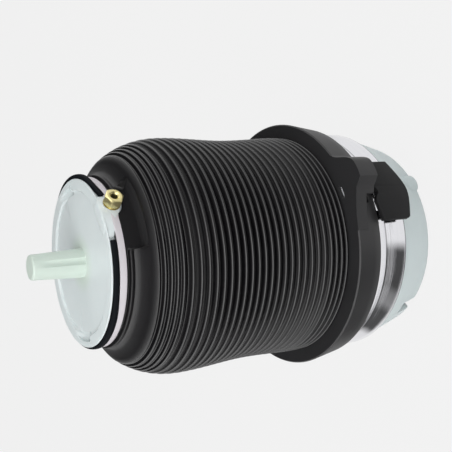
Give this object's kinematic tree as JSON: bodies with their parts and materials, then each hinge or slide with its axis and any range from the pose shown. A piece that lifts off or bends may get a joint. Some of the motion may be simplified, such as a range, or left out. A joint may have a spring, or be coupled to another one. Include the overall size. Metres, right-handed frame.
{
  "type": "air suspension spring",
  "caption": "Rolling-sleeve air suspension spring with an aluminium guide can, convoluted dust boot, white cap with a fluted spigot and a brass air fitting.",
  "frame": {"origin": "centre of the locating socket's mouth, in the base face", "axes": "+Z along the spring's axis from the base to the cap's spigot, +X towards the air fitting"},
  "size_m": [0.193, 0.18, 0.2748],
  "materials": {
    "white_plastic": "satin moulded, slightly translucent",
    "band_plastic": "satin moulded",
    "ring_plastic": "satin moulded",
    "latch_plastic": "matt moulded",
    "boot_rubber": "satin moulded",
    "strip_rubber": "satin",
    "seal_rubber": "matt",
    "sleeve_rubber": "matt, corded",
    "bump_foam": "cellular polyurethane",
    "can_aluminium": "spun and bright",
    "piston_aluminium": "turned",
    "crimp_steel": "plain",
    "zinc_steel": "zinc plated",
    "fitting_brass": "turned"
  },
  "bodies": {
    "lower_mount": {"base_seat": "white_plastic", "base_seal": "seal_rubber", "outer_guide": "can_aluminium", "boot_ring": "ring_plastic", "ring_latch": "latch_plastic", "sleeve_outer_clamp": "crimp_steel", "air_sleeve": "sleeve_rubber", "dust_boot": "boot_rubber", "bump_stop": "bump_foam", "bump_stop_cup": "zinc_steel", "cup_screw": "zinc_steel"},
    "piston": {"piston_cap": "white_plastic", "piston_tube": "piston_aluminium", "tube_seal": "seal_rubber", "piston_head": "piston_aluminium", "head_seal": "seal_rubber", "head_snap_ring": "zinc_steel", "sleeve_inner_clamp": "crimp_steel", "boot_clamp_band": "band_plastic", "cap_strip": "strip_rubber", "fitting_insert": "fitting_brass", "fitting_seal": "seal_rubber", "valve_spring": "zinc_steel"},
    "poppet": {"valve_poppet": "fitting_brass"},
    "ferrule": {"line_ferrule": "fitting_brass"},
    "nut": {"union_nut": "fitting_brass"}
  },
  "joints": [
    {"name": "stroke", "type": "slide", "parent": "lower_mount", "child": "piston", "axis": [0, 0, 1], "range_m": [-0.06, 0.02], "stiffness_N_per_m": 2000, "springref_m": 0.004, "deforming": ["dust_boot", "air_sleeve"]},
    {"name": "nut_turn", "type": "hinge", "parent": "piston", "child": "nut", "pos_m": [0.0585, 0, 0.2346], "axis": [1, 0, 0], "range_deg": [-396, 0]},
    {"name": "ferrule_slide", "type": "slide", "parent": "piston", "child": "ferrule", "axis": [1, 0, 0], "range_m": [-0.0011, 0]},
    {"name": "valve_slide", "type": "slide", "parent": "piston", "child": "poppet", "axis": [1, 0, 0], "range_m": [-0.001, 0], "stiffness_N_per_m": 400, "springref_m": 0.0005, "deforming": ["valve_spring"]}
  ],
  "couplings": [
    {"joint": "ferrule_slide", "follows": "nut_turn", "m_per_rad": 0.00015915}
  ]
}
